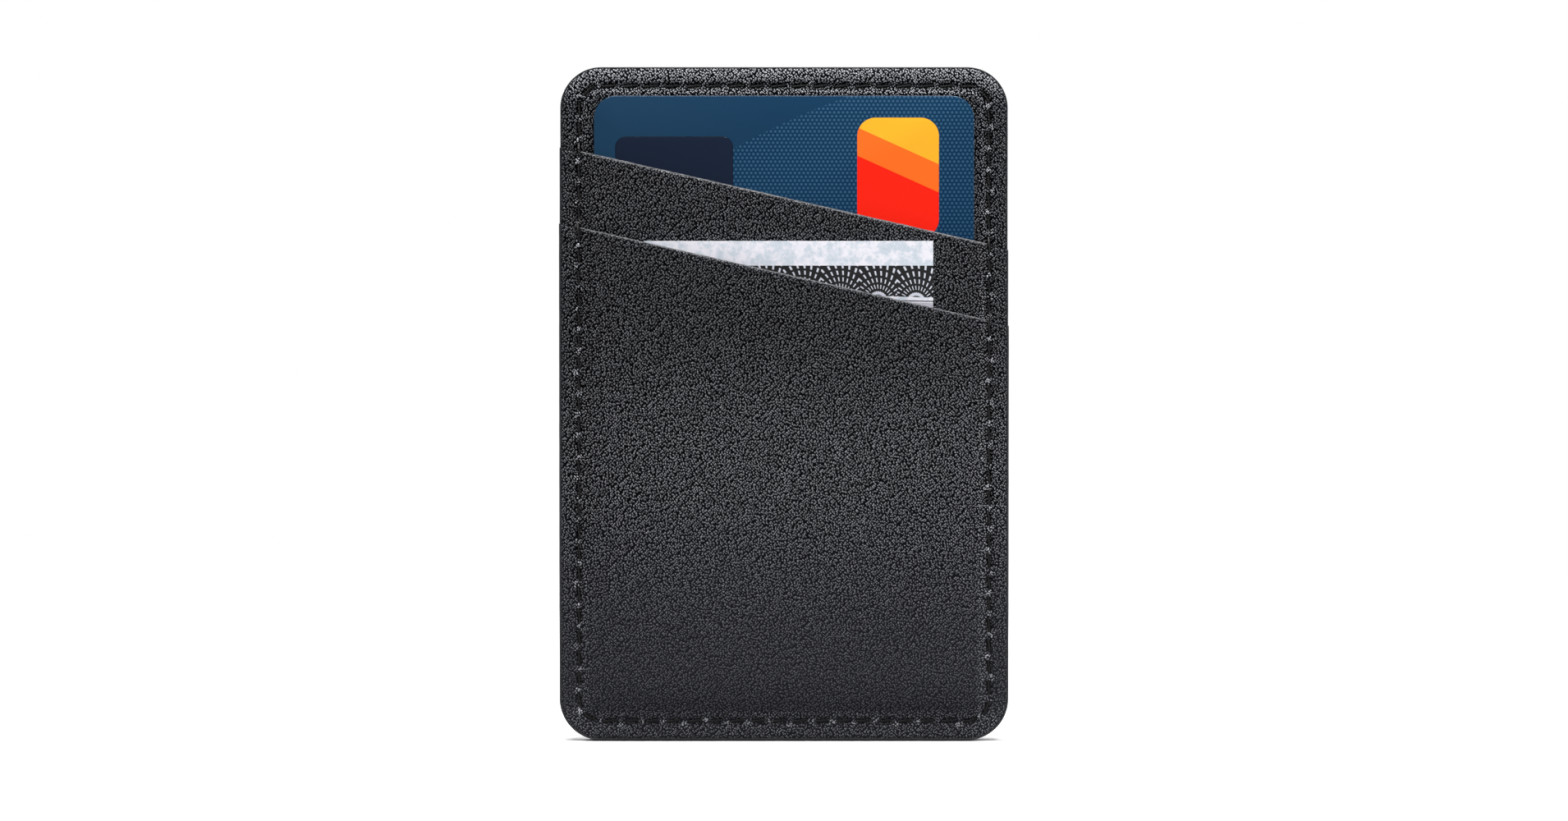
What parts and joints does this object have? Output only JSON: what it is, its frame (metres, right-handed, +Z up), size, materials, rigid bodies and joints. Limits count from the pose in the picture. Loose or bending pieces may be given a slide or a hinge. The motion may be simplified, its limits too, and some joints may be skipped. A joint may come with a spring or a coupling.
{
  "type": "stick-on card holder",
  "caption": "Flat stick-on leather card holder with slanted stepped pockets sewn to a stiffened back, holding a bank card and a folded banknote.",
  "frame": {"origin": "centre of the back face that goes towards a phone, on the outer face of the release liner", "axes": "+Z up the holder towards its pocket mouths, +Y out of its back, +X across to the low end of the slanted mouths"},
  "size_m": [0.064, 0.006, 0.096],
  "materials": {
    "leather": "satin, fine pebble grain",
    "board": "matte pressed paper fibre",
    "lining": "matte, short woven backing",
    "edge_paint": "satin, smooth painted edge",
    "thread": "waxed polyester thread",
    "adhesive": "glossy acrylic foam tape",
    "liner": "smooth silicone-coated paper",
    "card": "satin printed plastic",
    "chip": "gold-plated contacts",
    "sensor": "smooth dark window",
    "stripe": "satin magnetic oxide",
    "signature": "matte writable panel",
    "note": "matte printed cotton paper"
  },
  "bodies": {
    "holder": {"rear_cover": "leather", "stiffener_board": "board", "backing_panel": "leather", "middle_pocket_lining": "lining", "middle_pocket_panel": "leather", "front_pocket_lining": "lining", "front_pocket_panel": "leather", "edge_paint": "edge_paint", "needle_thread": "thread", "bobbin_thread": "thread", "adhesive_pad": "adhesive"},
    "card": {"card_body": "card", "card_chip": "chip", "card_fingerprint_sensor": "sensor", "card_magnetic_stripe": "stripe", "card_signature_strip": "signature"},
    "banknote": {"folded_banknote": "note"},
    "liner": {"release_liner": "liner"}
  },
  "joints": [
    {"name": "card_slide", "type": "slide", "parent": "holder", "child": "card", "axis": [0, 0, 1], "range_m": [0, 0.078]},
    {"name": "banknote_slide", "type": "slide", "parent": "holder", "child": "banknote", "axis": [0, 0, 1], "range_m": [0, 0.062]},
    {"name": "liner_peel", "type": "hinge", "parent": "holder", "child": "liner", "pos_m": [0, -0.00012, 0.043], "axis": [1, 0, 0], "range_deg": [0, 165]}
  ]
}
